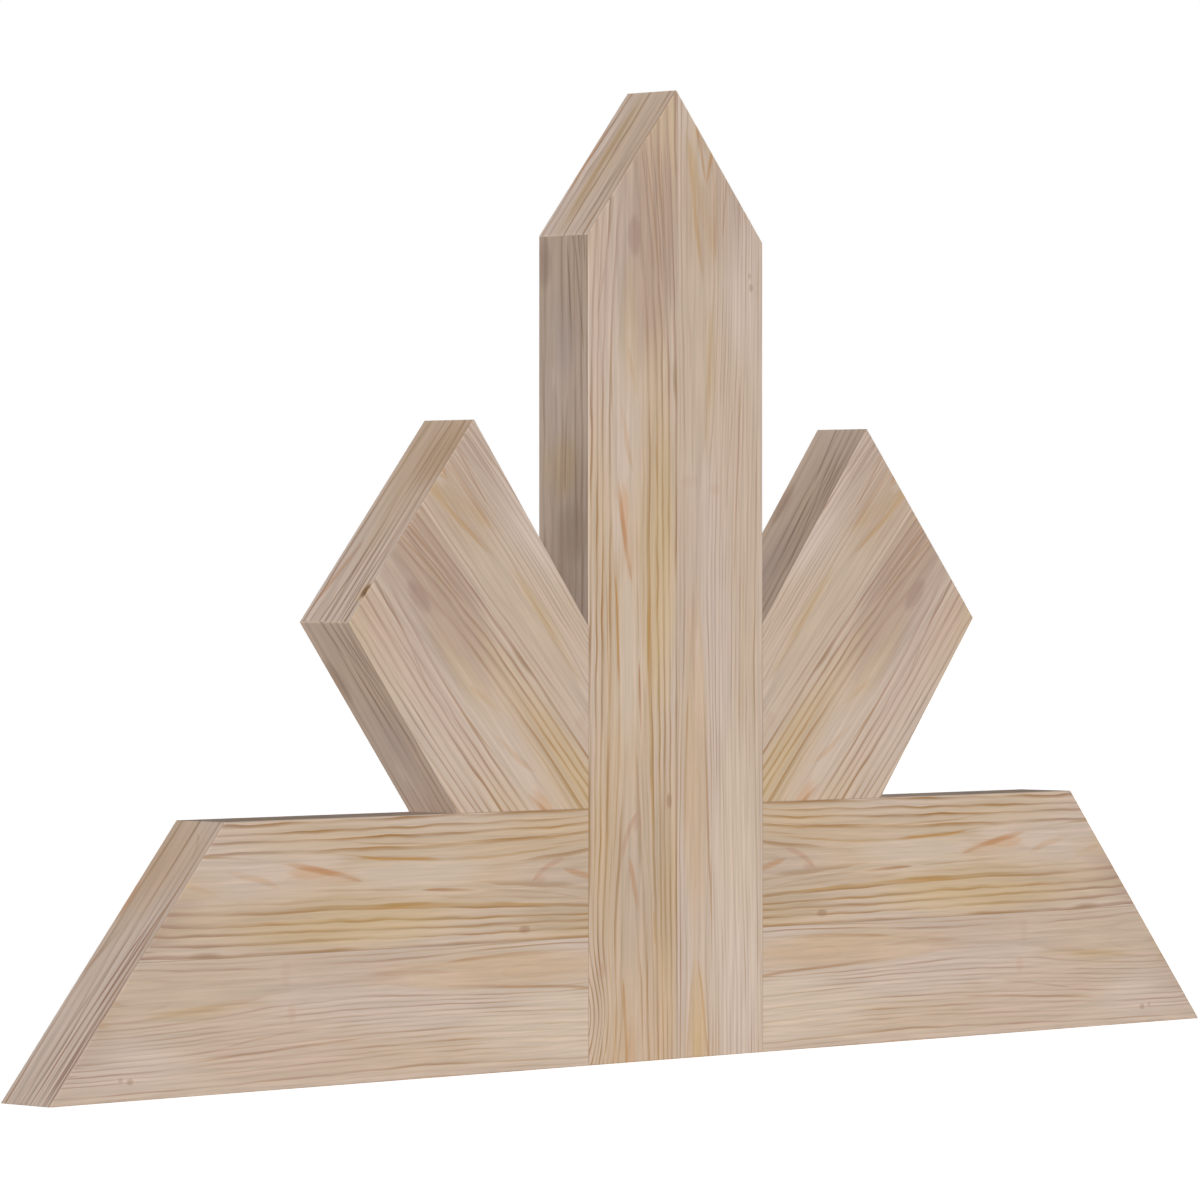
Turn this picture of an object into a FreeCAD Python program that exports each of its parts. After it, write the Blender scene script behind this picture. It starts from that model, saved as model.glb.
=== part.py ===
import FreeCAD, Part
import os
import Sketcher
from FreeCAD import Placement, Rotation, Vector

# Decorative gable truss in surfaced fir: a king post, a bottom chord in two halves and two struts.
# Every timber is two boards glued edge to edge, and blind dowels hold the timbers together.
# Origin: middle of the foot of the post. +X along the chord, +Y to the wall, +Z up. Millimetres.
# The right half is drawn. The left half is the same set of pieces turned half round about the post.

doc = FreeCAD.newDocument("gable_truss")

# Driving sizes
sizes = {
    "span": 914.4,                # width over the two lower tips
    "roof_rise": 14.0,            # the roof line rises this much
    "roof_run": 12.0,             # for this much run
    "timber_thickness": 38.1,     # front to back, every board
    "post_stave_width": 69.85,    # each half of the post's face
    "chord_lower_width": 69.85,   # lower board of the chord
    "chord_upper_width": 69.85,   # upper board of the chord
    "strut_width": 139.7,         # strut across its two boards
    "strut_foot_offset": 49.7,    # centre line starts this far out of the corner, both ways
    "strut_seam_rise": 28.0,      # glue seam above the chord, at the post
    "strut_seam_drop": 61.4,      # glue seam below the upper corner, down the roof cut
    "arris": 0.5,                 # eased edge, on what stays open to the air
    "dowel_diameter": 12.7,
    "dowel_length": 50.8,
    "dowel_chamfer": 1.5,
    "dowel_fit": 0.2,             # bore over dowel, on the diameter
    "dowel_end_gap": 1.6,         # glue space at each end of a dowel
    "flute_depth": 0.5,
    "flute_width": 1.2,           # across the mouth of a flute
    "flute_count": 12,
    "strut_dowel_drop": 25.4,     # strut to post dowel, below the strut's upper corner
    "strut_dowel_reach": 50.0,    # strut to chord dowel, out from the post
}

# Places worked out from the sizes, for the right half
layout = {
    "pitch": "=Sizes.roof_rise / Sizes.roof_run",
    "roof_slant": "=sqrt(1 + pitch * pitch)",
    "half_span": "=Sizes.span / 2",
    "half_thickness": "=Sizes.timber_thickness / 2",
    "peak": "=half_span * pitch",
    "post_side": "=Sizes.post_stave_width",
    "post_shoulder": "=(half_span - post_side) * pitch",
    "chord_seam": "=Sizes.chord_lower_width",
    "chord_top": "=chord_seam + Sizes.chord_upper_width",
    "chord_seam_end": "=half_span - chord_seam / pitch",
    "chord_top_end": "=half_span - chord_top / pitch",
    # The strut aims at the middle of the roof line that post and chord leave open
    "open_half": "=(chord_top_end - post_side) / 2",
    "aim_x": "=post_side + open_half",
    "aim_z": "=chord_top + open_half * pitch",
    "strut_slope": "=(open_half * pitch - Sizes.strut_foot_offset) / (open_half - Sizes.strut_foot_offset)",
    "strut_half_rise": "=Sizes.strut_width / 2 * sqrt(1 + strut_slope * strut_slope)",
    "strut_half_cut": "=strut_half_rise / (strut_slope + pitch)",
    "strut_post_z": "=aim_z - open_half * strut_slope + strut_half_rise",
    "strut_chord_x": "=aim_x - (aim_z - chord_top - strut_half_rise) / strut_slope",
    "strut_upper_x": "=aim_x - strut_half_cut",
    "strut_upper_z": "=(half_span - strut_upper_x) * pitch",
    "strut_lower_x": "=aim_x + strut_half_cut",
    "strut_lower_z": "=(half_span - strut_lower_x) * pitch",
    "strut_seam_foot": "=chord_top + Sizes.strut_seam_rise",
    "strut_seam_x": "=strut_upper_x + Sizes.strut_seam_drop / roof_slant",
    "strut_seam_z": "=(half_span - strut_seam_x) * pitch",
    # Dowels lie half in each of the two timbers that they join
    "bore_diameter": "=Sizes.dowel_diameter + Sizes.dowel_fit",
    "bore_depth": "=Sizes.dowel_length / 2 + Sizes.dowel_end_gap",
    "chord_lower_dowel_z": "=chord_seam / 2",
    "chord_upper_dowel_z": "=(chord_seam + chord_top) / 2",
    "strut_post_dowel_z": "=strut_post_z - Sizes.strut_dowel_drop",
    "strut_chord_dowel_x": "=post_side + Sizes.strut_dowel_reach",
    "dowel_radius": "=Sizes.dowel_diameter / 2",
    "flute_root": "=dowel_radius - Sizes.flute_depth",
    "flute_mouth": "=dowel_radius + Sizes.flute_depth",
}

match_tolerance = 1e-4    # for finding an edge by the corners that it joins


def make_sheet(name, rows):
    sheet = doc.addObject("Spreadsheet::Sheet", name)
    for row, (alias, content) in enumerate(rows.items(), start=1):
        sheet.set(f"A{row}", alias)
        sheet.set(f"B{row}", str(content))
        sheet.setAlias(f"B{row}", alias)
    doc.recompute()
    return sheet


sizes_sheet = make_sheet("Sizes", sizes)
layout_sheet = make_sheet("Layout", layout)


def number(expression):
    return float(layout_sheet.evalExpression(expression))


def origin_feature(body, role):
    return next(feature for feature in body.Origin.OriginFeatures if feature.Role == role)


def new_body(label, turned=False):
    body = doc.addObject("PartDesign::Body", label)
    body.Label = label
    half_turn = Rotation(Vector(0, 0, 1), 180 if turned else 0)
    body.Placement = Placement(Vector(0, 0, 0), half_turn)
    return body


def new_sketch(body, name, plane, offset=None):
    sketch = body.newObject("Sketcher::SketchObject", f"{body.Name}_{name}")
    sketch.AttachmentSupport = [(origin_feature(body, plane), "")]
    sketch.MapMode = "FlatFace"
    if offset:
        sketch.setExpression("AttachmentOffset.Base.z", offset)
    return sketch


def bind(sketch, constraint, expression):
    index = sketch.addConstraint(constraint)
    sketch.setExpression(f"Constraints[{index}]", expression)


# Fixes a point of a sketch at two expressions; "0" puts it on the axis itself
def place_point(sketch, geometry, end, across, up):
    for expression, kind, axis in ((across, "DistanceX", -2), (up, "DistanceY", -1)):
        if expression == "0":
            sketch.addConstraint(Sketcher.Constraint("PointOnObject", geometry, end, axis))
        else:
            distance = Sketcher.Constraint(kind, -1, 1, geometry, end, number(expression))
            bind(sketch, distance, expression)


def draw_outline(sketch, corners):
    points = [Vector(number(across), number(up), 0) for across, up in corners]
    count = len(points)
    for line in range(count):
        sketch.addGeometry(Part.LineSegment(points[line], points[(line + 1) % count]))
    for line in range(count):
        sketch.addConstraint(Sketcher.Constraint("Coincident", line, 2, (line + 1) % count, 1))
    for line, (across, up) in enumerate(corners):
        place_point(sketch, line, 1, across, up)


# A board: its outline in elevation, padded to the timber's thickness about the middle plane
def saw_board(body, corners):
    sketch = new_sketch(body, "outline", "XZ_Plane")
    draw_outline(sketch, corners)
    pad = body.newObject("PartDesign::Pad", f"{body.Name}_board")
    pad.Profile = sketch
    pad.SideType = "Symmetric"
    pad.setExpression("Length", "Sizes.timber_thickness")
    doc.recompute()


# Cuts a sketch out of the body and makes sure that the cut went into the wood
def cut(body, name, sketch, depth=None, reverse=False):
    volume = body.Shape.Volume
    pocket = body.newObject("PartDesign::Pocket", f"{body.Name}_{name}")
    pocket.Profile = sketch
    pocket.Reversed = reverse
    if depth:
        pocket.setExpression("Length", depth)
    else:
        pocket.Type = "ThroughAll"
    doc.recompute()
    if body.Shape.Volume >= volume:
        raise RuntimeError(f"{pocket.Name} cuts nothing")
    return pocket


# Blind dowel bores in a joint face: centres in the plane of the face, all to one depth
def bore(body, name, plane, face, centres, reverse):
    sketch = new_sketch(body, f"{name}_centres", plane, face)
    for across, up in centres:
        middle = Vector(number(across), number(up), 0)
        radius = number("Layout.bore_diameter") / 2
        circle = sketch.addGeometry(Part.Circle(middle, Vector(0, 0, 1), radius))
        place_point(sketch, circle, 3, across, up)
        diameter = Sketcher.Constraint("Diameter", circle, 2 * radius)
        bind(sketch, diameter, "Layout.bore_diameter")
    cut(body, name, sketch, "Layout.bore_depth", reverse)


# Eases the open edges: both long edges of each listed run, and the cross edge at each listed corner
def ease_edges(body, runs, corners):
    base = body.Tip
    half = number("Layout.half_thickness")

    def point(corner, side):
        return Vector(number(corner[0]), side * half, number(corner[1]))

    wanted = [(point(start, side), point(end, side)) for start, end in runs for side in (-1, 1)]
    wanted += [(point(corner, -1), point(corner, 1)) for corner in corners]
    names = []
    for index, edge in enumerate(base.Shape.Edges, start=1):
        first, last = edge.Vertexes[0].Point, edge.Vertexes[-1].Point
        for start, end in wanted:
            along = first.isEqual(start, match_tolerance) and last.isEqual(end, match_tolerance)
            back = first.isEqual(end, match_tolerance) and last.isEqual(start, match_tolerance)
            if along or back:
                names.append(f"Edge{index}")
    if len(names) != len(wanted):
        raise RuntimeError(f"{body.Label}: {len(names)} of {len(wanted)} open edges found")
    chamfer = body.newObject("PartDesign::Chamfer", f"{body.Name}_eased")
    chamfer.Base = (base, names)
    chamfer.setExpression("Size", "Sizes.arris")
    doc.recompute()


# Eases a long edge only from a joint outwards: a corner cut that stops at the joint, front and back
def ease_from_joint(body, plane, joint, corners):
    sketch = new_sketch(body, "stopped_arris", plane, joint)
    draw_outline(sketch, corners)
    pocket = cut(body, "stopped_easing", sketch, reverse=True)
    mirrored = body.newObject("PartDesign::Mirrored", f"{body.Name}_both_sides")
    mirrored.Originals = [pocket]
    mirrored.MirrorPlane = (origin_feature(body, "XZ_Plane"), [""])
    body.Tip = mirrored
    doc.recompute()


# Corners of the elevation, each an expression across and an expression up
post_foot = ("Layout.post_side", "0")
post_joint = ("Layout.post_side", "Layout.strut_post_z")
post_corner = ("Layout.post_side", "Layout.post_shoulder")
post_peak = ("0", "Layout.peak")
chord_tip = ("Layout.half_span", "0")
chord_split = ("Layout.chord_seam_end", "Layout.chord_seam")
chord_shoulder = ("Layout.chord_top_end", "Layout.chord_top")
chord_joint_seam = ("Layout.post_side", "Layout.chord_seam")
notch = ("Layout.post_side", "Layout.chord_top")
strut_seat = ("Layout.strut_chord_x", "Layout.chord_top")
strut_upper = ("Layout.strut_upper_x", "Layout.strut_upper_z")
strut_lower = ("Layout.strut_lower_x", "Layout.strut_lower_z")
strut_split = ("Layout.strut_seam_x", "Layout.strut_seam_z")
strut_joint_seam = ("Layout.post_side", "Layout.strut_seam_foot")


def post_stave(label, turned):
    body = new_body(label, turned)
    saw_board(body, [("0", "0"), post_foot, post_corner, post_peak])
    heights = ("Layout.chord_lower_dowel_z", "Layout.chord_upper_dowel_z", "Layout.strut_post_dowel_z")
    bore(body, "side_bores", "YZ_Plane", "Layout.post_side", [("0", height) for height in heights], False)
    ease_edges(body, [(("0", "0"), post_foot), (post_corner, post_peak)], [post_corner])
    edge_x = "Layout.post_side"
    edge_y = "Layout.half_thickness"
    inner_x = f"{edge_x} - Sizes.arris"
    inner_y = f"{edge_y} - Sizes.arris"
    triangle = [(inner_x, edge_y), (edge_x, inner_y), (edge_x, edge_y)]
    ease_from_joint(body, "XY_Plane", post_joint[1], triangle)
    return body


def chord_lower_stave(label, turned):
    body = new_body(label, turned)
    saw_board(body, [post_foot, chord_tip, chord_split, chord_joint_seam])
    bore(body, "end_bore", "YZ_Plane", "Layout.post_side", [("0", "Layout.chord_lower_dowel_z")], True)
    ease_edges(body, [(post_foot, chord_tip), (chord_tip, chord_split)], [chord_tip])
    return body


def chord_upper_stave(label, turned):
    body = new_body(label, turned)
    saw_board(body, [chord_joint_seam, chord_split, chord_shoulder, notch])
    bore(body, "end_bore", "YZ_Plane", "Layout.post_side", [("0", "Layout.chord_upper_dowel_z")], True)
    bore(body, "top_bore", "XY_Plane", "Layout.chord_top", [("Layout.strut_chord_dowel_x", "0")], False)
    ease_edges(body, [(chord_split, chord_shoulder)], [chord_shoulder])
    edge_y = "Layout.half_thickness"
    edge_z = "Layout.chord_top"
    inner_y = f"{edge_y} - Sizes.arris"
    inner_z = f"{edge_z} - Sizes.arris"
    triangle = [(inner_y, edge_z), (edge_y, inner_z), (edge_y, edge_z)]
    ease_from_joint(body, "YZ_Plane", strut_seat[0], triangle)
    return body


def strut_upper_stave(label, turned):
    body = new_body(label, turned)
    saw_board(body, [strut_joint_seam, strut_split, strut_upper, post_joint])
    bore(body, "end_bore", "YZ_Plane", "Layout.post_side", [("0", "Layout.strut_post_dowel_z")], True)
    ease_edges(body, [(strut_split, strut_upper), (strut_upper, post_joint)], [strut_upper])
    return body


def strut_lower_stave(label, turned):
    body = new_body(label, turned)
    saw_board(body, [notch, strut_seat, strut_lower, strut_split, strut_joint_seam])
    bore(body, "seat_bore", "XY_Plane", "Layout.chord_top", [("Layout.strut_chord_dowel_x", "0")], True)
    ease_edges(body, [(strut_seat, strut_lower), (strut_lower, strut_split)], [strut_lower])
    return body


# A straight-fluted dowel pin about its own Z axis, chamfered at both ends
def dowel(label, axis, across, up):
    body = new_body(label)
    section = new_sketch(body, "section", "XY_Plane")
    radius = number("Layout.dowel_radius")
    circle = section.addGeometry(Part.Circle(Vector(0, 0, 0), Vector(0, 0, 1), radius))
    section.addConstraint(Sketcher.Constraint("Coincident", circle, 3, -1, 1))
    bind(section, Sketcher.Constraint("Radius", circle, radius), "Layout.dowel_radius")
    pad = body.newObject("PartDesign::Pad", f"{body.Name}_pin")
    pad.Profile = section
    pad.SideType = "Symmetric"
    pad.setExpression("Length", "Sizes.dowel_length")
    doc.recompute()
    rims = []
    for index, edge in enumerate(pad.Shape.Edges, start=1):
        if edge.isClosed():
            rims.append(f"Edge{index}")
    chamfer = body.newObject("PartDesign::Chamfer", f"{body.Name}_ends")
    chamfer.Base = (pad, rims)
    chamfer.setExpression("Size", "Sizes.dowel_chamfer")
    doc.recompute()

    # One flute is a vee along the whole pin, its mouth as wide again outside the pin as at the surface
    vee = new_sketch(body, "flute", "XY_Plane")
    root = Vector(number("Layout.flute_root"), 0, 0)
    left = Vector(number("Layout.flute_mouth"), number("Sizes.flute_width"), 0)
    right = Vector(left.x, -left.y, 0)
    for start, end in ((root, left), (left, right), (right, root)):
        vee.addGeometry(Part.LineSegment(start, end))
    for line in range(3):
        vee.addConstraint(Sketcher.Constraint("Coincident", line, 2, (line + 1) % 3, 1))
    place_point(vee, 0, 1, "Layout.flute_root", "0")
    place_point(vee, 1, 1, "Layout.flute_mouth", "Sizes.flute_width")
    vee.addConstraint(Sketcher.Constraint("Symmetric", 1, 1, 1, 2, -1))
    flute = body.newObject("PartDesign::Pocket", f"{body.Name}_flute_cut")
    flute.Profile = vee
    flute.Type = "ThroughAll"
    flute.SideType = "Symmetric"
    doc.recompute()
    flutes = body.newObject("PartDesign::PolarPattern", f"{body.Name}_flutes")
    flutes.Originals = [flute]
    flutes.Axis = (origin_feature(body, "Z_Axis"), [""])
    flutes.setExpression("Occurrences", "Sizes.flute_count")
    body.Tip = flutes
    doc.recompute()

    body.Placement = Placement(Vector(0, 0, 0), Rotation(Vector(0, 0, 1), axis))
    body.setExpression("Placement.Base.x", across)
    body.setExpression("Placement.Base.z", up)
    return body


# The pieces, right half and left half
along_chord = Vector(1, 0, 0)
upright = Vector(0, 0, 1)
pieces = []
for side, turned, sign in (("right", False, ""), ("left", True, "-")):
    pieces.append(post_stave(f"king_post_{side}_stave", turned))
    pieces.append(chord_lower_stave(f"{side}_chord_lower_stave", turned))
    pieces.append(chord_upper_stave(f"{side}_chord_upper_stave", turned))
    pieces.append(strut_lower_stave(f"{side}_strut_lower_stave", turned))
    pieces.append(strut_upper_stave(f"{side}_strut_upper_stave", turned))
    post_face = f"{sign}Layout.post_side"
    seat_middle = f"{sign}Layout.strut_chord_dowel_x"
    pieces.append(dowel(f"{side}_chord_lower_dowel", along_chord, post_face, "Layout.chord_lower_dowel_z"))
    pieces.append(dowel(f"{side}_chord_upper_dowel", along_chord, post_face, "Layout.chord_upper_dowel_z"))
    pieces.append(dowel(f"{side}_strut_post_dowel", along_chord, post_face, "Layout.strut_post_dowel_z"))
    pieces.append(dowel(f"{side}_strut_chord_dowel", upright, seat_middle, "Layout.chord_top"))
doc.recompute()

# Nothing is written unless every feature worked and every piece is one sound solid
for item in doc.Objects:
    if "Invalid" in item.State or "Error" in item.State:
        raise RuntimeError(f"{item.Label} failed: {item.State}")
for piece in pieces:
    if piece.Shape.isNull() or not piece.Shape.isValid() or len(piece.Shape.Solids) != 1:
        raise RuntimeError(f"{piece.Label} is not one sound solid")

os.makedirs("parts", exist_ok=True)
for piece in pieces:
    piece.Shape.exportStep(f"parts/{piece.Label}.step")
    print(piece.Label, round(piece.Shape.Volume), "mm3")
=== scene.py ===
import math

import bpy
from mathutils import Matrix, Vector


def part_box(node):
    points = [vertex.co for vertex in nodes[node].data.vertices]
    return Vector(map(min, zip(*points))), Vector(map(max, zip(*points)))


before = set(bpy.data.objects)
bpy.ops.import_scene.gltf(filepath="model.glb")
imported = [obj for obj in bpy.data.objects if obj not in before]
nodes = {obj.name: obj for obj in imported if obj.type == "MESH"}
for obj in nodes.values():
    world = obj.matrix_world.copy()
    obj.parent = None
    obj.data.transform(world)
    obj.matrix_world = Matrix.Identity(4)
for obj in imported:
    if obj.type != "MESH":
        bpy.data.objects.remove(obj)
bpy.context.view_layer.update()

scene = bpy.context.scene
perMetre = 1000.0    # the figure of the wood is written in millimetres
level = 90.0         # degrees that lift a lamp or a camera from looking down to looking level
print("frame loaded:", len(nodes), "pieces")


def corner(name, end):    # a node's lowest (0) or highest (1) corner in mm
    return [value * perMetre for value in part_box(name)[end]]


def verticesOf(name):    # a node's vertices in mm
    return [vertex.co * perMetre for vertex in nodes[name].data.vertices]


# Lines of the right half that the boards and their joints follow, in mm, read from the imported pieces
postSide = corner("king_post_right_stave", 1)[0]
front = corner("king_post_right_stave", 0)[1]
peak = corner("king_post_right_stave", 1)[2]
chordSeam = corner("right_chord_lower_stave", 1)[2]
chordTop = corner("right_chord_upper_stave", 1)[2]
chordEnd = corner("right_chord_lower_stave", 1)[0]
seamFoot = (postSide, corner("right_strut_upper_stave", 0)[2])
seamEnd = (corner("right_strut_upper_stave", 1)[0], corner("right_strut_lower_stave", 1)[2])
seamTurn = math.atan2(seamEnd[1] - seamFoot[1], seamEnd[0] - seamFoot[0])
arris = 1.0    # the strut's edges are eased by less than this, mm
strutHead = max(spot.z for spot in verticesOf("right_strut_upper_stave") if spot.x < postSide + arris)
strutToe = max(spot.x for spot in verticesOf("right_strut_lower_stave") if spot.z < chordTop + arris)
roofTurn = math.atan2(peak, chordEnd)


def linear(hexColour):    # sRGB hex to linear red, green, blue and a full alpha
    parts = [int(hexColour[at:at + 2], 16) / 255 for at in (0, 2, 4)]
    curved = [p / 12.92 if p <= 0.04045 else ((p + 0.055) / 1.055) ** 2.4 for p in parts]
    return (*curved, 1.0)


def addNode(tree, kind, settings=None, links=None):    # settings: property names or input numbers
    node = tree.nodes.new(kind if kind.startswith("NodeGroup") else "ShaderNode" + kind)
    for key, value in (settings or {}).items():
        if isinstance(key, str):
            setattr(node, key, value)
        else:
            node.inputs[key].default_value = value
    for key, socket in (links or {}).items():
        tree.links.new(socket, node.inputs[key])
    return node


# Planed, unfinished fir shows pale wide earlywood, thin brown latewood lines that fade in and out,
# fine fibres along the grain, a few pin knots, and hardly any gloss.
firSettings = {
    # each noise: length along the grain and width across it in mm, and its detail
    "noises": {
        "wave": (150, 34, 0.0),      # slow waves of the grain, and patches of warmer wood
        "ripple": (34, 9, 1.0),      # quick ripples of the grain
        "fade": (70, 6, 1.0),        # lines fade in and out along their length
        "streak": (90, 2.6, 1.0),    # bundles of fibres
        "fibre": (26, 0.8, 1.0),     # single fibres, 0.04 mm wide, are drawn coarser so that they show
    },
    "spread": (0.3, 0.7),    # nearly all of a noise lies between these
    "unevenYears": 2.5, "unevenOver": 8.0,    # how far the years shift, and over how many mm of radius
    "lateStart": 0.52, "latePeak": 0.88, "lateEnd": 0.96,    # the dark part of a year
    "fadeFrom": 0.36, "fadeTo": 0.62, "faintest": 0.4, "strongest": 1.2,
    "flatFrom": 0.25, "flatTo": 0.8,    # years cut flat show weaker than years cut upright
    "patchFrom": 0.36, "patchTo": 0.64,
    "streakShade": (0.92, 1.08), "fibreShade": (0.955, 1.045),
    "raggedSpots": 1.3, "raggedStreaks": 2.0,    # how far the grain frays them, in reaches and mm
    "streakCore": 0.3,         # this share of a streak's width is full, the rest fades out
    "shallow": (5.0, 14.0),    # spots and streaks of a face end between these depths, mm
    "lean": 0.35,              # the years lean this much with depth, so that the back has its own figure
    "roughness": (0.68, 0.82), "specular": 0.05,    # dense fibres are smoother than lifted ones
    "roofFacing": 0.9, "broadFacing": 0.5,    # how squarely a roof cut and a broad face look their way
    "roofPaintedLight": 1.16,         # painted light: paler roof cuts stand in for the stronger light on them
    "torn": (18, 0.9), "relief": 0.00004,    # the planer lifts fibres, length and width in mm, height in m
    "jointWidth": 0.45, "jointColour": "8d735d", "jointDepth": 0.55,
}


def squareAway(tree, at, middle, reach):    # squared distance from the middle of an ellipse, 1 on its edge
    (middleX, middleZ), (reachX, reachZ) = middle, reach
    near = {
        "operation": "MULTIPLY_ADD",
        1: (1 / reachX, 0, 1 / reachZ),
        2: (-middleX / reachX, 0, -middleZ / reachZ),
    }
    away = addNode(tree, "VectorMath", near, {0: at}).outputs[0]
    return addNode(tree, "VectorMath", {"operation": "DOT_PRODUCT"}, {0: away, 1: away}).outputs["Value"]


# How far along a line a place lies, -1 to 1 from end to end, and how many widths aside of its bowed middle
def onLine(tree, at, start, end, width, bow=0.0):
    halfX, halfZ = (end[0] - start[0]) / 2, (end[1] - start[1]) / 2
    middleX, middleZ = (end[0] + start[0]) / 2, (end[1] + start[1]) / 2
    half = math.hypot(halfX, halfZ)
    square, side = half * half, half * width
    # the place has 1 for its Y, so that the dot product also adds the middle number
    along = (halfX / square, -(middleX * halfX + middleZ * halfZ) / square, halfZ / square)
    aside = (-halfZ / side, (middleX * halfZ - middleZ * halfX - half * bow) / side, halfX / side)
    measures = []
    for measure in (along, aside):
        dot = {"operation": "DOT_PRODUCT", 1: measure}
        measures.append(addNode(tree, "VectorMath", dot, {0: at}).outputs["Value"])
    return measures


def woodFigure(name, figure):    # a node group: the colour at a place, X along, Y below, Z across
    fir = firSettings
    tree = bpy.data.node_groups.new(name, "ShaderNodeTree")
    tree.interface.new_socket("Place", in_out="INPUT", socket_type="NodeSocketVector")
    tree.interface.new_socket("Colour", in_out="OUTPUT", socket_type="NodeSocketColor")
    at = addNode(tree, "NodeGroupInput").outputs[0]
    atX, atY, atZ = addNode(tree, "SeparateXYZ", {}, {0: at}).outputs
    ramp = {"interpolation_type": "SMOOTHSTEP"}
    scaled = {"operation": "MULTIPLY_ADD"}
    mixed = {"data_type": "RGBA"}

    # Noises stretched along the grain
    grain = {}
    for pattern, (length, width, detail) in fir["noises"].items():
        stretch = {**scaled, 1: (1 / length, 1 / width, 1 / width), 2: (figure["seed"], 0, 0)}
        place = addNode(tree, "VectorMath", stretch, {0: at}).outputs[0]
        grain[pattern] = addNode(tree, "TexNoise", {2: 1.0, 3: detail}, {0: place}).outputs[0]

    # Distance from the pith line behind the face, pushed about by waves, ripples and swells
    toPith = {**scaled, 1: (0, fir["lean"], 1), 2: (0, figure["depth"], -figure["apex"])}
    flat = addNode(tree, "VectorMath", toPith, {0: at}).outputs[0]
    radius = addNode(tree, "VectorMath", {"operation": "LENGTH"}, {0: flat}).outputs["Value"]
    upright = addNode(tree, "VectorMath", {"operation": "NORMALIZE"}, {0: flat}).outputs[0]
    upright = addNode(tree, "SeparateXYZ", {}, {0: upright}).outputs[2]
    upright = addNode(tree, "Math", {"operation": "ABSOLUTE"}, {0: upright}).outputs[0]
    pushes = [(grain["wave"], figure["wave"]), (grain["ripple"], figure["ripple"])]
    for middle, reach, rise in figure["swells"]:
        square = squareAway(tree, at, middle, reach)
        swell = addNode(tree, "Math", {"operation": "POWER", 0: 1 / math.e}, {1: square}).outputs[0]
        pushes.append((swell, rise))
    for push, amount in pushes:
        radius = addNode(tree, "Math", {**scaled, 1: amount}, {0: push, 2: radius}).outputs[0]

    # Uneven years, then the year's number and how far through the year a point lies
    years = {"noise_dimensions": "1D", 2: 1 / fir["unevenOver"], 3: 0.0}
    uneven = addNode(tree, "TexNoise", years, {1: radius}).outputs[0]
    shift = {**scaled, 1: fir["unevenYears"]}
    radius = addNode(tree, "Math", shift, {0: uneven, 2: radius}).outputs[0]
    count = {**scaled, 1: 1 / figure["year"], 2: figure["phase"]}
    count = addNode(tree, "Math", count, {0: radius}).outputs[0]
    number = addNode(tree, "Math", {"operation": "FLOOR"}, {0: count}).outputs[0]
    through = addNode(tree, "Math", {"operation": "FRACT"}, {0: count}).outputs[0]
    chance = addNode(tree, "TexWhiteNoise", {"noise_dimensions": "1D"}, {1: number}).outputs[0]

    # Latewood darkens through the year and stops at its end; its strength differs from year to year
    rising = {**ramp, 1: fir["lateStart"], 2: fir["latePeak"]}
    late = addNode(tree, "MapRange", rising, {0: through}).outputs[0]
    ending = {**ramp, 1: 1.0, 2: fir["lateEnd"]}
    ending = addNode(tree, "MapRange", ending, {0: through}).outputs[0]
    faint, strong = figure["late"]
    strength = addNode(tree, "MapRange", {3: faint, 4: strong}, {0: chance}).outputs[0]
    fading = {1: fir["fadeFrom"], 2: fir["fadeTo"], 3: fir["faintest"], 4: fir["strongest"]}
    fading = addNode(tree, "MapRange", fading, {0: grain["fade"]}).outputs[0]
    cutting = {1: fir["flatFrom"], 2: fir["flatTo"], 3: figure["flatCut"]}
    cutting = addNode(tree, "MapRange", cutting, {0: upright}).outputs[0]
    calmFrom, calmTo, calmest = figure["calm"]
    calm = addNode(tree, "MapRange", {1: calmFrom, 2: calmTo}, {0: atX}).outputs[0]
    calming = addNode(tree, "MapRange", {3: 1.0, 4: calmest}, {0: calm}).outputs[0]
    for factor in (ending, strength, fading, cutting, calming):
        late = addNode(tree, "Math", {"operation": "MULTIPLY"}, {0: late, 1: factor}).outputs[0]

    # Pale earlywood with warmer patches, brown or golden latewood that changes colour where it is calm
    warm = {1: fir["patchFrom"], 2: fir["patchTo"]}
    warm = addNode(tree, "MapRange", warm, {0: grain["wave"]}).outputs[0]
    early = {**mixed, 6: linear(figure["cool"]), 7: linear(figure["warm"])}
    early = addNode(tree, "Mix", early, {0: warm}).outputs[2]
    brown = {**mixed, 6: linear(figure["line"]), 7: linear(figure["gold"])}
    brown = addNode(tree, "Mix", brown, {0: warm}).outputs[2]
    calmLine = {**mixed, 7: linear(figure["calmLine"])}
    brown = addNode(tree, "Mix", calmLine, {0: calm, 6: brown}).outputs[2]
    wood = addNode(tree, "Mix", mixed, {0: late, 6: early, 7: brown}).outputs[2]

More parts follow.
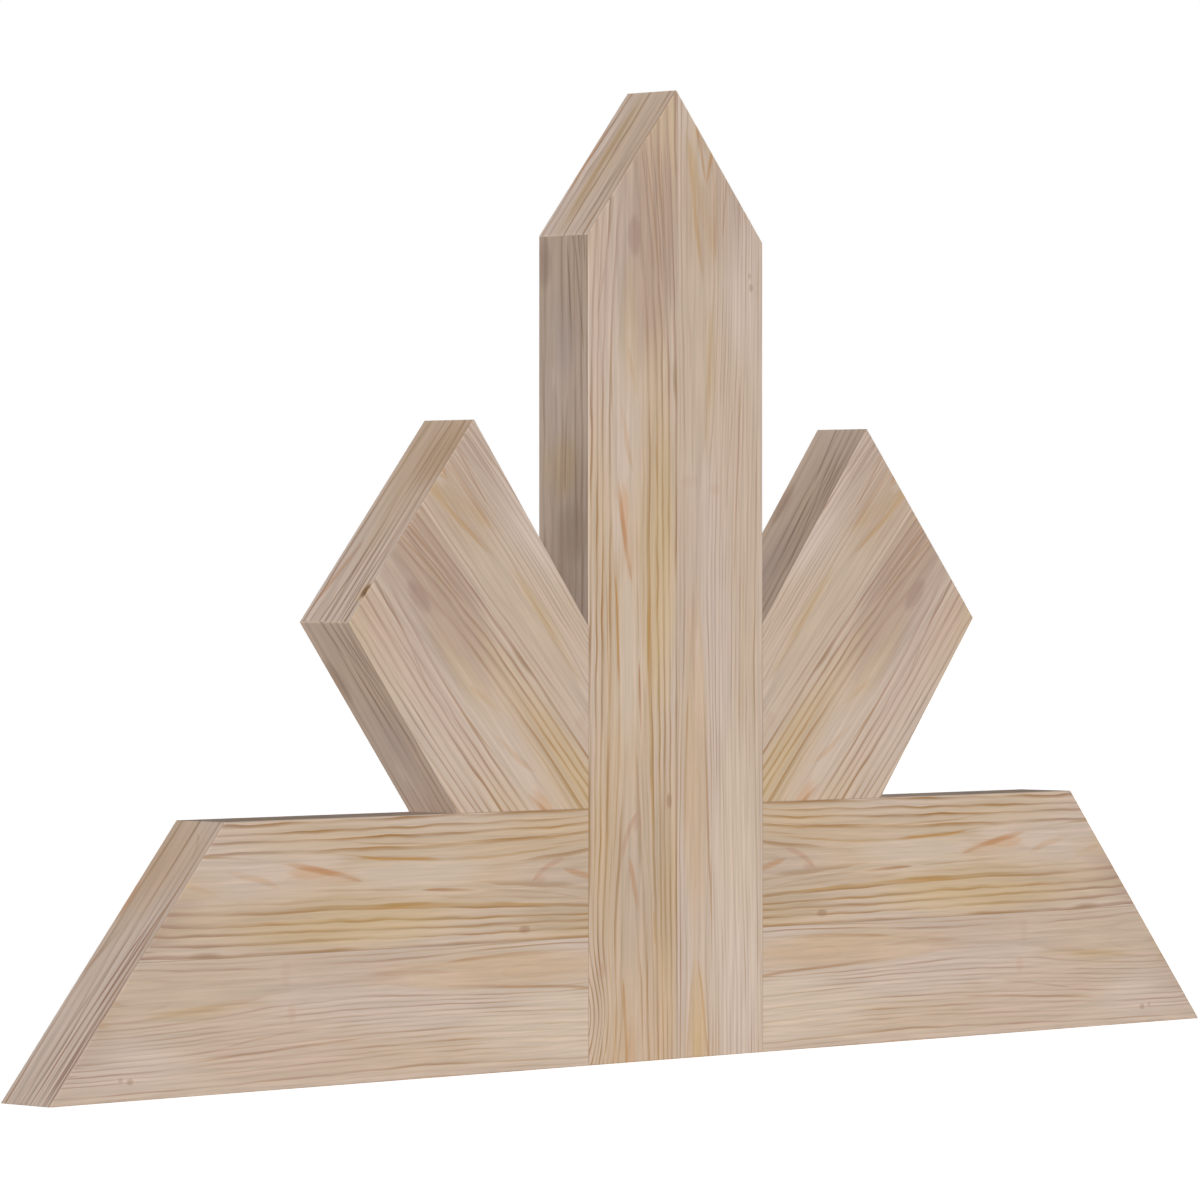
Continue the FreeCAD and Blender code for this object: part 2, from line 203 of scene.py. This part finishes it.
    # Spots and streaks are painted over it; the grain frays their edges
    marked = wood
    ragged = {**scaled, 1: fir["raggedSpots"]}
    for middle, reach, colour, depth in figure["spots"]:
        square = squareAway(tree, at, middle, reach)
        fray = addNode(tree, "Math", ragged, {0: grain["fade"], 2: square}).outputs[0]
        edge = {**ramp, 1: 1.0 + fir["raggedSpots"] / 2, 2: fir["raggedSpots"] / 2, 4: depth}
        inside = addNode(tree, "MapRange", edge, {0: fray}).outputs[0]
        marked = addNode(tree, "Mix", {**mixed, 7: linear(colour)}, {0: inside, 6: marked}).outputs[2]
    frayed = {**scaled, 1: fir["raggedStreaks"]}
    frayed = addNode(tree, "Math", frayed, {0: grain["ripple"], 2: atZ}).outputs[0]
    centred = {"operation": "SUBTRACT", 1: fir["raggedStreaks"] / 2}
    frayed = addNode(tree, "Math", centred, {0: frayed}).outputs[0]
    frayed = addNode(tree, "CombineXYZ", {1: 1.0}, {0: atX, 2: frayed}).outputs[0]
    streaked = marked
    for start, end, bow, width, colour, depth in figure["streaks"]:
        along, aside = onLine(tree, frayed, start, end, width, bow)
        ends = addNode(tree, "Math", {"operation": "MULTIPLY"}, {0: along, 1: along}).outputs[0]
        bowed = addNode(tree, "Math", {**scaled, 1: bow / width}, {0: ends, 2: aside}).outputs[0]
        bowed = addNode(tree, "Math", {"operation": "ABSOLUTE"}, {0: bowed}).outputs[0]
        lens = addNode(tree, "Math", scaled, {0: ends, 1: ends, 2: bowed}).outputs[0]
        edge = {**ramp, 1: 1.0, 2: fir["streakCore"], 4: depth}
        inside = addNode(tree, "MapRange", edge, {0: lens}).outputs[0]
        paint = {**mixed, 7: linear(colour)}
        streaked = addNode(tree, "Mix", paint, {0: inside, 6: streaked}).outputs[2]

    # The streaks fade in and out as the years do, and no mark goes deeper than the face
    marked = addNode(tree, "Mix", mixed, {0: fading, 6: marked, 7: streaked}).outputs[2]
    start, end = fir["shallow"]
    shallow = addNode(tree, "MapRange", {1: end, 2: start}, {0: atY}).outputs[0]
    wood = addNode(tree, "Mix", mixed, {0: shallow, 6: wood, 7: marked}).outputs[2]

    # Bundles of fibres and single fibres shade it all
    least, most = fir["spread"]
    for pattern in ("streak", "fibre"):
        low, high = fir[pattern + "Shade"]
        shade = {1: least, 2: most, 3: low, 4: high}
        shade = addNode(tree, "MapRange", shade, {0: grain[pattern]}).outputs[0]
        wood = addNode(tree, "VectorMath", {"operation": "SCALE"}, {0: wood, 3: shade}).outputs[0]
    addNode(tree, "NodeGroupOutput", {}, {0: wood})
    return tree


# Figures of the wood. Places are in mm along the board and across it, with +35 at the glued seam.
# Earlywood runs from cool to warm, latewood from line to gold, and late is its strength in the faintest
# and the darkest year. Between two places along the board it calms down to a share, and to calmLine.
# The pith lies at apex across the board and depth below its face. Years are year mm wide and start at
# phase, show flatCut of their strength where they are cut flat, and are pushed by wave and ripple, mm.
# A swell has its middle, its reach and how far it pushes the years; a spot its middle, reach, colour
# and depth; a streak its two ends, its bow, half its width, its colour and depth.
figuredWood = {
    "cool": "cab7a7", "warm": "c5ae94", "line": "9d7750", "gold": "a67f4c", "late": (0.35, 1.0),
    "calm": (300, 430, 0.66), "calmLine": "967463",
    "seed": 0, "apex": -2.0, "depth": 12.0, "year": 4.4, "phase": 0.2, "flatCut": 0.14,
    "wave": 4.0, "ripple": 2.4,
    "swells": [((-20, -6), (130, 30), -11.0), ((545, -2), (120, 44), 10.0), ((26, -36), (26, 20), 14.0)],
    "spots": [
        # broad tones
        ((95, 10), (65, 36), "a08a6c", 0.28), ((265, 23), (105, 14), "ccb284", 0.3),
        ((30, 12), (60, 24), "c6a884", 0.3), ((225, -4), (62, 17), "d8c9bc", 0.45),
        ((292, -12.5), (22, 3), "cfbdae", 0.5), ((450, 10), (80, 38), "a38c84", 0.5),
        # pin knots and flecks
        ((142.5, 29), (5.5, 2.8), "997458", 0.5), ((376, 33.5), (17, 3), "95785c", 0.55),
        ((452, 1), (13, 8), "967a70", 0.4), ((130, 2), (7, 3.5), "b28a76", 0.4),
        ((51, -25), (7, 4.5), "b8907a", 0.4), ((5, -2), (22, 4.5), "c19a76", 0.45),
        # a pink outer edge and a tan patch towards the head
        ((418, -28), (85, 14), "c3a99c", 0.35), ((398, -3), (52, 9), "c0a683", 0.4),
    ],
    "streaks": [
        # golden lines beside the pale middle
        ((176, 6.3), (222, 4.4), 0.0, 1.3, "a5764c", 0.75),
        ((222, 4.4), (300, 3.0), -0.3, 0.8, "b08d68", 0.5),
        ((95, 13.5), (180, 6.5), -1.5, 0.9, "9c7a55", 0.5),
        ((93, 17.5), (330, 11.5), -2.0, 1.1, "b08f58", 0.7),
        ((190, 13.2), (285, 13), 0.2, 1.2, "b3854a", 0.6),
        ((93, 25), (310, 19.5), -2.0, 0.9, "b09268", 0.5),
        ((93, 28.5), (330, 24), -1.2, 0.8, "ab8a62", 0.5),
        ((93, -17), (290, -17), 6.0, 1.1, "b48c58", 0.7),
        ((200, -11.2), (270, -13.8), 0.4, 1.3, "b98a4e", 0.65),
        ((93, -24), (293, -24), 5.0, 0.8, "a98866", 0.55),
        # amber streaks that cross the grain
        ((260, -2), (320, -8), 0.0, 5.0, "c39c7a", 0.55),
        ((261, -0.5), (322, -12), -1.2, 2.3, "b58358", 0.7),
        ((320, 1), (362, -9), -1.0, 2.6, "bf9c7c", 0.5),
        ((362, 4), (394, -4.5), 0.0, 2.4, "bfa07c", 0.45),
        ((80, 5), (114, -3.5), 0.3, 2.5, "b98f6c", 0.6),
        ((110, -8.5), (138, 5), -3.0, 2.5, "b8927a", 0.6),
        # short lines near the foot
        ((-8, -4.5), (50, -8.5), 0.5, 1.6, "b9884e", 0.75),
        ((-8, -13.8), (34, -14.2), 0.0, 1.0, "ba9260", 0.5),
        ((62, 17.5), (84, 16.5), 0.0, 1.0, "b98f56", 0.55),
        # brown lines towards the head, close together beside the seam
        ((330, -14.5), (390, -18), 0.0, 0.9, "a98a62", 0.55),
        ((425, 21.5), (505, 9.5), 0.5, 0.9, "a5805f", 0.6),
        ((440, 26), (510, 19), 0.0, 0.8, "a5805f", 0.5),
        ((400, -30), (480, -14), 0.8, 0.8, "a88a72", 0.5),
        ((398, 34), (510, 28), 0.4, 0.8, "957364", 0.65),
        ((404, 30.5), (510, 24.5), 0.4, 0.8, "957364", 0.65),
        ((412, 27.5), (510, 21.5), 0.4, 0.7, "957364", 0.55),
        ((418, 24), (510, 15), 0.4, 0.8, "957364", 0.6),
        ((424, 17.5), (508, 5.5), 0.6, 0.8, "957364", 0.6),
    ],
}
plainWood = {
    "cool": "cab8aa", "warm": "c5b19d", "line": "a5866c", "gold": "ac8c66", "late": (0.25, 0.9),
    "calm": (130, 330, 0.7), "calmLine": "a58470",
    "seed": 9, "apex": 19.0, "depth": 12.0, "year": 2.8, "phase": 0.1, "flatCut": 0.3,
    "wave": 3.5, "ripple": 1.6,
    "swells": [
        ((138, 19), (80, 14), -7.0), ((-10, 18), (50, 14), -6.0), ((470, 12), (90, 18), -6.0),
        ((400, 6), (80, 12), -3.0), ((215, -10), (110, 30), 4.0),
    ],
    "spots": [
        # broad tones
        ((95, -12), (130, 26), "dacbbc", 0.42), ((270, 24), (62, 15), "b2967e", 0.25),
        ((478, 4), (55, 44), "a58a76", 0.3), ((160, 19.5), (118, 12), "c6a885", 0.5),
        ((10, 18), (50, 8.5), "c8a878", 0.55), ((493, 15), (13, 6), "cbbcae", 0.5),
        # flecks and paler patches
        ((385, 8), (34, 5), "bfa583", 0.4), ((318, 24), (5, 8), "ba9c8c", 0.3),
        ((314, 4), (4.5, 6), "b79a7e", 0.4), ((320, -10), (60, 25), "d0baae", 0.3),
        # a pair of pin knots
        ((426.5, -25), (3, 2.2), "a58a78", 0.6), ((433, -24), (2.4, 2), "a58a78", 0.5),
    ],
    "streaks": [
        # edges of the flames at the foot and in the middle
        ((55, 6), (218, 14.5), 0.0, 1.1, "b08a66", 0.65),
        ((110, 27.5), (205, 25.5), 1.2, 1.2, "bb8f66", 0.5),
        ((190, 20.5), (262, 22), 0.0, 1.4, "c09a7c", 0.4),
        ((-10, 8.5), (58, 18.5), -0.5, 1.3, "b98f5e", 0.65),
        ((-10, 27), (58, 20.5), 1.0, 1.1, "ba9468", 0.5),
        # edges of the flames at the head
        ((322, 10.5), (420, 6), 1.2, 2.6, "bda07a", 0.45),
        ((425, 12), (505, 25), 1.5, 2.6, "b99568", 0.55),
        ((440, 3), (492, 2), 1.8, 2.0, "b08a62", 0.6),
        ((482, 11.5), (520, 20), 0.0, 1.8, "b5885a", 0.7),
        ((481, 11.5), (508, 4.5), 0.0, 1.7, "b5885a", 0.65),
        # thin brown lines, and a tan band inside the flame
        ((245, -10.5), (395, -18.5), 0.5, 0.9, "a6856c", 0.6),
        ((296, -4), (365, -11.5), 0.6, 0.9, "a6856c", 0.5),
        ((450, -1.5), (495, -6.5), 0.0, 0.9, "a07e66", 0.5),
        ((436, 2), (514, 29), 0.0, 5.5, "b99c76", 0.5),
        # lines close together at the head
        ((458, -20.5), (520, -19), 0.0, 0.8, "a38370", 0.6),
        ((455, -16.5), (520, -14.5), 0.0, 0.8, "a38370", 0.6),
        ((452, -12.5), (520, -9.5), 0.0, 0.8, "a38370", 0.6),
        ((470, -8), (520, -5), 0.0, 0.8, "a38370", 0.55),
    ],
}
# Places on the roof cuts are in mm down from the peak and back from the front. The narrow edges have
# their own stretch of this figure, from edgeStart on.
edgeWood = {
    "cool": "cbb9ac", "warm": "bfa893", "line": "987862", "gold": "a0815f", "late": (0.25, 0.85),
    "calm": (750, 1000, 0.9), "calmLine": "98795f",
    "seed": 17, "apex": 27.0, "depth": 6.0, "year": 4.2, "phase": 0.3, "flatCut": 0.25,
    "wave": 5.0, "ripple": 2.4,
    "swells": [],
    "spots": [
        # tones of the post's and the strut's roof cuts
        ((55, 22), (75, 10), "b3976f", 0.35), ((265, 10), (30, 16), "a98b70", 0.5),
        # the knot at the strut's front edge: its pale rim, its dark bark and its heart
        ((363, 2), (9, 6), "c8ac86", 0.6), ((362.5, 1.2), (5.8, 3.8), "6b4f30", 0.9),
        ((361.5, 0), (3.4, 2), "b0916a", 0.9),
        # tones of the chord's roof cut
        ((545, 20), (45, 20), "b79a7c", 0.45), ((570, 36), (16, 2.5), "b8835e", 0.45),
        # tones of the narrow edges, and a darker grey patch at 1290
        ((1300, 19), (500, 80), "b5a69c", 0.3), ((1325, 20), (22, 17), "c2a478", 0.4),
        ((1402, 17), (32, 13), "a08f8f", 0.28), ((1437, 36), (18, 8), "8c7062", 0.4),
        # a darker grey patch, on the post's side just above the strut
        ((1290, 12), (20, 14), "a38d78", 0.4),
    ],
    "streaks": [
        # broad streaks of the roof cuts
        ((325, 27), (372, 35), 0.0, 2.2, "b8865e", 0.55),
        ((526, 16), (546, 8), -2.0, 1.5, "a18468", 0.5),
        ((585, 28), (622, 37), 0.0, 2.0, "a9866c", 0.5),
        ((0, 24), (110, 22), 1.0, 3.8, "b3936c", 0.6),
        ((20, 36.5), (80, 36), 0.0, 1.6, "b98a62", 0.5),
        ((0, 8.8), (107, 8.5), 0.0, 1.6, "9f8878", 0.6),
        # lines that spread along the chord's roof cut
        ((600, 1.5), (722, 2), 0.0, 1.0, "966f5b", 0.8),
        ((580, 3), (722, 6), 0.8, 1.0, "966f5b", 0.8),
        ((555, 4), (722, 10.5), 1.8, 1.1, "966f5b", 0.8),
        ((560, 8), (722, 15.5), 2.0, 1.1, "966f5b", 0.8),
        ((575, 17), (722, 23), 1.8, 1.2, "9b7b60", 0.85),
        # even lines along the front of the strut's roof cut
        ((290, 3.2), (400, 3), 0.0, 0.9, "98735d", 0.75),
        ((290, 6.5), (400, 6.5), 0.0, 0.9, "98735d", 0.8),
        ((290, 10), (400, 10.5), 0.0, 0.9, "98735d", 0.8),
        ((300, 13.5), (400, 14), 0.0, 0.9, "98735d", 0.75),
        ((310, 17), (400, 18), 0.0, 0.9, "98735d", 0.6),
        ((335, 20), (400, 22.5), 0.6, 1.1, "9d7b60", 0.75),
        ((235, 15), (300, 17), 0.5, 1.0, "94765c", 0.6),
        # wavy lines of the narrow edges
        ((1270, 8.5), (1392, 9.5), 0.8, 0.9, "7f6756", 0.6),
        ((1385, 4), (1452, 11), -0.6, 0.9, "7f6756", 0.6),
        ((1380, 13), (1452, 17), -0.8, 0.9, "7f6756", 0.6),
        ((1308, 18), (1368, 15.5), 0.6, 1.2, "7f6756", 0.55),
        ((1430, 2.5), (1522, 6), 0.5, 0.9, "83695a", 0.65),
        ((1432, 6), (1522, 12), 0.6, 0.9, "83695a", 0.65),
        ((1440, 11), (1522, 18), 0.6, 1.0, "83695a", 0.65),
        ((1450, 17.5), (1522, 26), 0.5, 1.0, "83695a", 0.6),
    ],
}
figuredFigure = woodFigure("figured_fir", figuredWood)
plainFigure = woodFigure("plain_fir", plainWood)
edgeFigure = woodFigure("fir_edges", edgeWood)
print("figures of the wood made")

# Where along the boards each member was cut, in mm, and the painted light and shade on its narrow edges
staveSettings = {
    "chordStart": 93, "strutStart": 300, "edgeStart": 1000,
    # painted shade on the post's sides and the upper chord's edges, painted light on the struts' sides
    "postEdgePaintedShade": 0.9, "chordUpperEdgePaintedShade": 0.8, "chordLowerEdge": 1.0,
    "strutUpperEdgePaintedLight": 1.07, "strutLowerEdgePaintedLight": 1.24,
}


def firMaterial(name, stave, hand):    # hand is 1 for the right half and -1 for the left
    material = bpy.data.materials.new(name)
    material.use_nodes = True
    tree = material.node_tree
    shader = tree.nodes["Principled BSDF"]
    fir = firSettings
    place = addNode(tree, "TexCoord").outputs["Object"]
    normal = addNode(tree, "NewGeometry").outputs["True Normal"]

    # Board coordinates in mm on the broad faces: X along the grain, Y into the thickness, Z across
    fromX, fromZ = stave["from"]
    boardX, boardZ = stave["board"]
    turn, flip = stave["turn"], stave["flip"]
    toBoard = {
        1: (boardX - fromX * math.cos(turn) - fromZ * math.sin(turn), -front,
            boardZ + flip * (fromX * math.sin(turn) - fromZ * math.cos(turn))),
        2: (0, flip * turn, 0),
        3: (hand * perMetre, perMetre, flip * perMetre),
    }
    onBoard = addNode(tree, "Mapping", toBoard, {0: place}).outputs[0]
    wood = addNode(tree, "Group", {"node_tree": stave["figure"]}, {0: onBoard}).outputs[0]

    # The roof cuts run on from stave to stave: X down the slope from the peak, Y below, Z from the front
    toRoof = {
        1: (peak * math.sin(roofTurn), peak * math.cos(roofTurn), -front),
        2: (math.pi / 2, 0, -roofTurn),
        3: (hand * perMetre, perMetre, perMetre),
    }
    onRoof = addNode(tree, "Mapping", toRoof, {0: place}).outputs[0]
    outward = {"operation": "DOT_PRODUCT", 1: (hand * math.sin(roofTurn), 0, math.cos(roofTurn))}
    facing = addNode(tree, "VectorMath", outward, {0: normal}).outputs["Value"]
    squarely = {"operation": "GREATER_THAN", 1: fir["roofFacing"]}
    roof = addNode(tree, "Math", squarely, {0: facing}).outputs[0]

    # The narrow edges have the same even lines as the roof cuts, in another part of that figure
    parts = addNode(tree, "SeparateXYZ", {}, {0: onBoard}).outputs
    onEdge = addNode(tree, "CombineXYZ", {}, {0: parts[0], 2: parts[1]}).outputs[0]
    beyond = {"operation": "ADD", 1: (staveSettings["edgeStart"], 0, 0)}
    onEdge = addNode(tree, "VectorMath", beyond, {0: onEdge}).outputs[0]
    onEdge = addNode(tree, "Mix", {"data_type": "VECTOR"}, {0: roof, 4: onEdge, 5: onRoof}).outputs[1]
    narrowWood = addNode(tree, "Group", {"node_tree": edgeFigure}, {0: onEdge}).outputs[0]
    # Painted light and shade: the edges' and roof cuts' colour is scaled for how light falls on them
    shade = {3: stave["edgePaintedLightAndShade"], 4: fir["roofPaintedLight"]}
    shade = addNode(tree, "MapRange", shade, {0: roof}).outputs[0]
    narrowWood = addNode(tree, "VectorMath", {"operation": "SCALE"}, {0: narrowWood, 3: shade}).outputs[0]
    broad = addNode(tree, "SeparateXYZ", {}, {0: normal}).outputs[1]
    broad = addNode(tree, "Math", {"operation": "ABSOLUTE"}, {0: broad}).outputs[0]
    aslant = {"operation": "LESS_THAN", 1: fir["broadFacing"]}
    narrow = addNode(tree, "Math", aslant, {0: broad}).outputs[0]
    wood = addNode(tree, "Mix", {"data_type": "RGBA"}, {0: narrow, 6: wood, 7: narrowWood}).outputs[2]

    # Glue squeezed into the joints shows as hair lines on the broad faces
    mirrored = addNode(tree, "Mapping", {3: (hand * perMetre, 0, perMetre)}, {0: place}).outputs[0]
    lifted = {"operation": "ADD", 1: (0, 1, 0)}    # onLine wants 1 for Y
    mirrored = addNode(tree, "VectorMath", lifted, {0: mirrored}).outputs[0]
    glue = {"data_type": "RGBA", 7: linear(fir["jointColour"])}
    for start, end in stave["joints"]:
        along, aside = onLine(tree, mirrored, start, end, fir["jointWidth"])
        aside = addNode(tree, "Math", {"operation": "ABSOLUTE"}, {0: aside}).outputs[0]
        near = addNode(tree, "MapRange", {3: fir["jointDepth"], 4: 0.0}, {0: aside}).outputs[0]
        along = addNode(tree, "Math", {"operation": "ABSOLUTE"}, {0: along}).outputs[0]
        inside = addNode(tree, "Math", {"operation": "LESS_THAN", 1: 1.0}, {0: along}).outputs[0]
        onFace = {"operation": "GREATER_THAN"}
        inside = addNode(tree, "Math", onFace, {0: inside, 1: narrow}).outputs[0]
        dark = addNode(tree, "Math", {"operation": "MULTIPLY"}, {0: near, 1: inside}).outputs[0]
        wood = addNode(tree, "Mix", glue, {0: dark, 6: wood}).outputs[2]

    tree.links.new(wood, shader.inputs["Base Color"])
    shader.inputs["Specular IOR Level"].default_value = fir["specular"]
    length, width = fir["torn"]
    size = {"operation": "MULTIPLY", 1: (1 / length, 1 / width, 1 / width)}
    torn = addNode(tree, "VectorMath", size, {0: onBoard}).outputs[0]
    torn = addNode(tree, "TexNoise", {2: 1.0, 3: 0.0}, {0: torn}).outputs[0]
    least, most = fir["spread"]
    smooth, coarse = fir["roughness"]
    dull = {1: least, 2: most, 3: smooth, 4: coarse}
    dull = addNode(tree, "MapRange", dull, {0: torn}).outputs[0]
    tree.links.new(dull, shader.inputs["Roughness"])
    relief = addNode(tree, "Bump", {1: fir["relief"]}, {"Height": torn})
    tree.links.new(relief.outputs[0], shader.inputs["Normal"])
    return material


# The staves of the right half; the left half is the same turned over, save for the post.
# "from" in the truss is "board" in the figure; "flip" turns the stave so that its seam is at +35.
halfStave = postSide / 2
postSeam = ((0, 0), (0, peak))
postFlank = ((postSide, 0), (postSide, strutHead))
chordJoint = ((postSide, chordSeam), (chordEnd, chordSeam))
strutOnPost = ((postSide, chordTop), (postSide, strutHead))
strutOnChord = ((postSide, chordTop), (strutToe, chordTop))
postPlace = {
    "from": (halfStave, 0), "board": (0, 0), "turn": math.pi / 2, "flip": 1,
    "edgePaintedLightAndShade": staveSettings["postEdgePaintedShade"], "joints": [postSeam, postFlank],
}
chordPlace = {
    "from": (postSide, chordSeam), "board": (staveSettings["chordStart"], halfStave), "turn": 0.0,
}
strutPlace = {
    "from": seamFoot, "board": (staveSettings["strutStart"], halfStave), "turn": seamTurn,
    "joints": [strutOnPost, strutOnChord, (seamFoot, seamEnd)],
}
staves = {
    "king_post_right_stave": {**postPlace, "figure": plainFigure},
    "king_post_left_stave": {**postPlace, "figure": figuredFigure},
}
for side in ("right", "left"):
    staves[side + "_chord_upper_stave"] = {
        **chordPlace, "figure": figuredFigure, "flip": -1, "edgePaintedLightAndShade": staveSettings["chordUpperEdgePaintedShade"],
        "joints": [chordJoint, ((postSide, chordSeam), (postSide, chordTop)), strutOnChord],
    }
    staves[side + "_chord_lower_stave"] = {
        **chordPlace, "figure": plainFigure, "flip": 1, "edgePaintedLightAndShade": staveSettings["chordLowerEdge"],
        "joints": [chordJoint, ((postSide, 0), (postSide, chordSeam))],
    }
    staves[side + "_strut_upper_stave"] = {
        **strutPlace, "figure": plainFigure, "flip": -1, "edgePaintedLightAndShade": staveSettings["strutUpperEdgePaintedLight"],
    }
    staves[side + "_strut_lower_stave"] = {
        **strutPlace, "figure": figuredFigure, "flip": 1, "edgePaintedLightAndShade": staveSettings["strutLowerEdgePaintedLight"],
    }
for name, stave in staves.items():
    planedFir = firMaterial("planed_fir_" + name, stave, -1 if "left" in name else 1)
    for slot in nodes[name].material_slots:
        slot.material = planedFir
print("fir staves finished:", len(staves))

# Fluted beech dowels: an even pinkish-brown, flecked along their length with short dark rays, not polished
beechSettings = {
    "pale": "c9a585", "dark": "a87d5c", "fleck": "8a6145",
    "tone": (30.0, 1.5), "rays": (3.0, 0.35),    # length and width in mm
    "detail": 2.0,    # of both noises
    "toneSpread": (0.35, 0.65), "fleckEdge": (0.6, 0.68),    # parts of the noises that are used
    "roughness": (0.48, 0.62), "relief": 0.00003,
}


def beechMaterial(name, axis):    # axis 0 for dowels that lie level, 2 for upright ones
    material = bpy.data.materials.new(name)
    material.use_nodes = True
    tree = material.node_tree
    shader = tree.nodes["Principled BSDF"]
    beech = beechSettings
    place = addNode(tree, "TexCoord").outputs["Object"]
    found = []
    for length, width in (beech["tone"], beech["rays"]):
        size = [perMetre / width] * 3
        size[axis] = perMetre / length
        scaled = addNode(tree, "Mapping", {3: size}, {0: place}).outputs[0]
        found.append(addNode(tree, "TexNoise", {2: 1.0, 3: beech["detail"]}, {0: scaled}).outputs[0])
    tone, rays = found
    least, most = beech["toneSpread"]
    even = addNode(tree, "MapRange", {1: least, 2: most}, {0: tone}).outputs[0]
    wood = {"data_type": "RGBA", 6: linear(beech["pale"]), 7: linear(beech["dark"])}
    wood = addNode(tree, "Mix", wood, {0: even}).outputs[2]
    start, end = beech["fleckEdge"]
    fleck = addNode(tree, "MapRange", {1: start, 2: end}, {0: rays}).outputs[0]
    flecked = {"data_type": "RGBA", 7: linear(beech["fleck"])}
    wood = addNode(tree, "Mix", flecked, {0: fleck, 6: wood}).outputs[2]
    tree.links.new(wood, shader.inputs["Base Color"])
    smooth, coarse = beech["roughness"]
    dull = {1: least, 2: most, 3: smooth, 4: coarse}
    dull = addNode(tree, "MapRange", dull, {0: tone}).outputs[0]
    tree.links.new(dull, shader.inputs["Roughness"])
    relief = addNode(tree, "Bump", {1: beech["relief"]}, {"Height": tone})
    tree.links.new(relief.outputs[0], shader.inputs["Normal"])
    return material


levelBeech = beechMaterial("fluted_beech_level", 0)
uprightBeech = beechMaterial("fluted_beech_upright", 2)
for name, piece in nodes.items():
    if name.endswith("_dowel"):
        low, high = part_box(name)
        for slot in piece.material_slots:
            slot.material = uprightBeech if high.z - low.z > high.x - low.x else levelBeech
print("beech dowels finished")


# 1 for what the camera sees, straight or in a gloss or through glass, and 0 for what lights a surface
def seenRay(tree):
    ray = addNode(tree, "LightPath").outputs
    seen = ray["Is Camera Ray"]
    for kind in ("Is Glossy Ray", "Is Transmission Ray"):
        seen = addNode(tree, "Math", {"operation": "MAXIMUM"}, {0: seen, 1: ray[kind]}).outputs[0]
    return seen


# Floor of matt white paper; its glow makes it white to the camera and leaves the shadow
floorSettings = {"reach": 40.0, "colour": "efefef", "glow": 0.78}    # reach in m each way
floorMesh = bpy.data.meshes.new("floor")
reach = floorSettings["reach"]
corners = [(-reach, -reach, 0), (reach, -reach, 0), (reach, reach, 0), (-reach, reach, 0)]
floorMesh.from_pydata(corners, [], [(0, 1, 2, 3)])
floor = bpy.data.objects.new("floor", floorMesh)
scene.collection.objects.link(floor)
paper = bpy.data.materials.new("matt_white_paper")
paper.use_nodes = True
tree = paper.node_tree
tree.nodes.remove(tree.nodes["Principled BSDF"])
matt = addNode(tree, "BsdfDiffuse", {0: linear(floorSettings["colour"])})
seen = {"operation": "MULTIPLY", 1: floorSettings["glow"]}
seen = addNode(tree, "Math", seen, {0: seenRay(tree)}).outputs[0]
glow = addNode(tree, "Emission", {}, {1: seen})
both = addNode(tree, "AddShader", {}, {0: matt.outputs[0], 1: glow.outputs[0]})
tree.links.new(both.outputs[0], tree.nodes["Material Output"].inputs[0])
floorMesh.materials.append(paper)

# Soft studio light: a low pale sky and four wide lamps near the floor
lightSettings = {
    "horizon": 0.5, "dark": 0.5,    # strength at the horizon, and height where the sky ends, 1 overhead
    # in degrees: turn from straight at the front round to the left, lift above the floor, and spread
    "suns": {
        "keyLight": {"turn": 30.0, "lift": 5.0, "share": 1.31, "spread": 40.0},
        "leftLight": {"turn": 105.0, "lift": 5.0, "share": 0.22, "spread": 40.0},
        "rearLight": {"turn": 180.0, "lift": 4.0, "share": 0.85, "spread": 20.0},
        "rightLight": {"turn": -102.0, "lift": 4.0, "share": 0.6, "spread": 20.0},
    },
}
world = bpy.data.worlds.new("studio")
scene.world = world
world.use_nodes = True
tree = world.node_tree
aim = addNode(tree, "TexCoord").outputs["Generated"]
height = addNode(tree, "SeparateXYZ", {}, {0: aim}).outputs[2]
falling = {2: lightSettings["dark"], 3: lightSettings["horizon"], 4: 0.0}
sky = addNode(tree, "MapRange", falling, {0: height}).outputs[0]
shown = addNode(tree, "Math", {"operation": "MAXIMUM"}, {0: sky, 1: seenRay(tree)}).outputs[0]
tree.links.new(shown, tree.nodes["Background"].inputs[1])
tree.nodes["Background"].inputs[0].default_value = (1, 1, 1, 1)
for name, sun in lightSettings["suns"].items():
    lamp = bpy.data.lights.new(name, "SUN")
    lamp.energy = sun["share"] * math.pi    # a white face turned to a lamp of pi renders as 1
    lamp.angle = math.radians(sun["spread"])
    lampObject = bpy.data.objects.new(name, lamp)
    lampObject.rotation_euler = (math.radians(level - sun["lift"]), 0, -math.radians(sun["turn"]))
    scene.collection.objects.link(lampObject)
print("floor and lights set")

# Camera: level with the struts, turned to the front and the left, long lens
cameraSettings = {
    "eye": (-2.6127, -2.48557, 0.26746),    # m
    "turn": 45.9733,    # degrees from straight at the front, round to the left
    "tilt": 0.2341,     # degrees down
    "lens": 195.73, "film": 36.0,    # mm
    "farthest": 160.0,    # m, past the far corners of the floor
}
camera = bpy.data.cameras.new("camera")
camera.sensor_width = cameraSettings["film"]
camera.lens = cameraSettings["lens"]
camera.clip_end = cameraSettings["farthest"]
cameraObject = bpy.data.objects.new("camera", camera)
cameraObject.location = cameraSettings["eye"]
tip = math.radians(level - cameraSettings["tilt"])
cameraObject.rotation_euler = (tip, 0, -math.radians(cameraSettings["turn"]))
scene.collection.objects.link(cameraObject)
scene.camera = cameraObject
scene.view_settings.view_transform = "Standard"
print("camera set")
